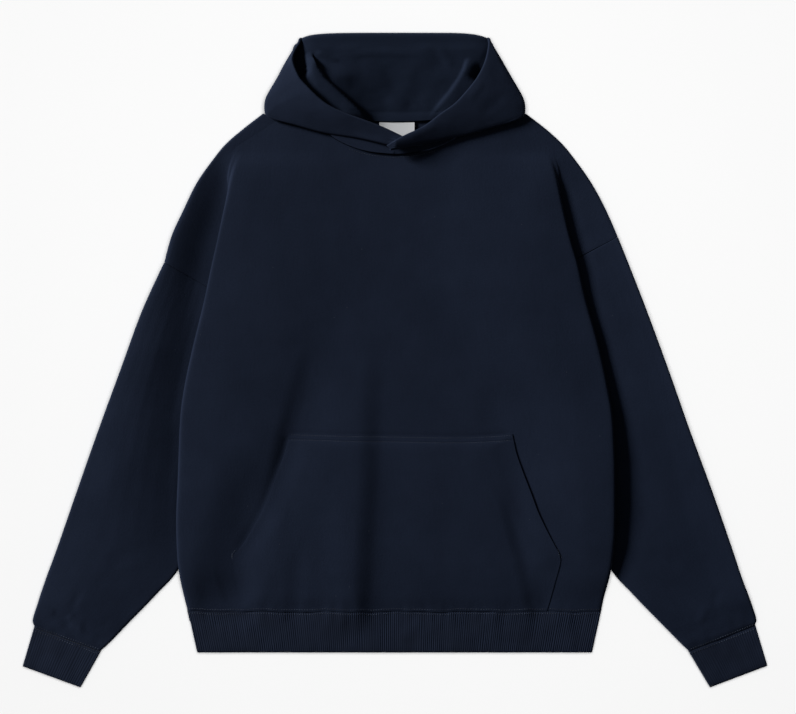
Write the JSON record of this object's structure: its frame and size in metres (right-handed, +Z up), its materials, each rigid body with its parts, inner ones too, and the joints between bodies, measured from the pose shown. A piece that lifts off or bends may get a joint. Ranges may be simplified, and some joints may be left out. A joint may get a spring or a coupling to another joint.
{
  "type": "pullover hoodie",
  "caption": "Dark navy fleece pullover hoodie laid flat front up, with a crossover hood, kangaroo pocket and ribbed cuffs and hem.",
  "frame": {"origin": "on the surface the garment lies on, below the middle of its outline", "axes": "+X towards the wearer's left, +Y from the hem towards the hood, +Z up out of the surface"},
  "size_m": [0.9325, 0.8202, 0.0323],
  "materials": {
    "navy_fleece": "matt",
    "navy_fleece_inside": "matt",
    "navy_rib": "matt",
    "white_label": "satin"
  },
  "bodies": {
    "root": {"front_panel": "navy_fleece", "back_panel": "navy_fleece", "pocket": "navy_fleece", "sleeve_right": "navy_fleece", "sleeve_left": "navy_fleece", "cuff_right": "navy_rib", "cuff_left": "navy_rib", "hem_band": "navy_rib", "hood_outer_right": "navy_fleece", "hood_outer_left": "navy_fleece", "hood_lining_right": "navy_fleece_inside", "hood_lining_left": "navy_fleece_inside", "neck_label": "white_label"}
  },
  "joints": []
}
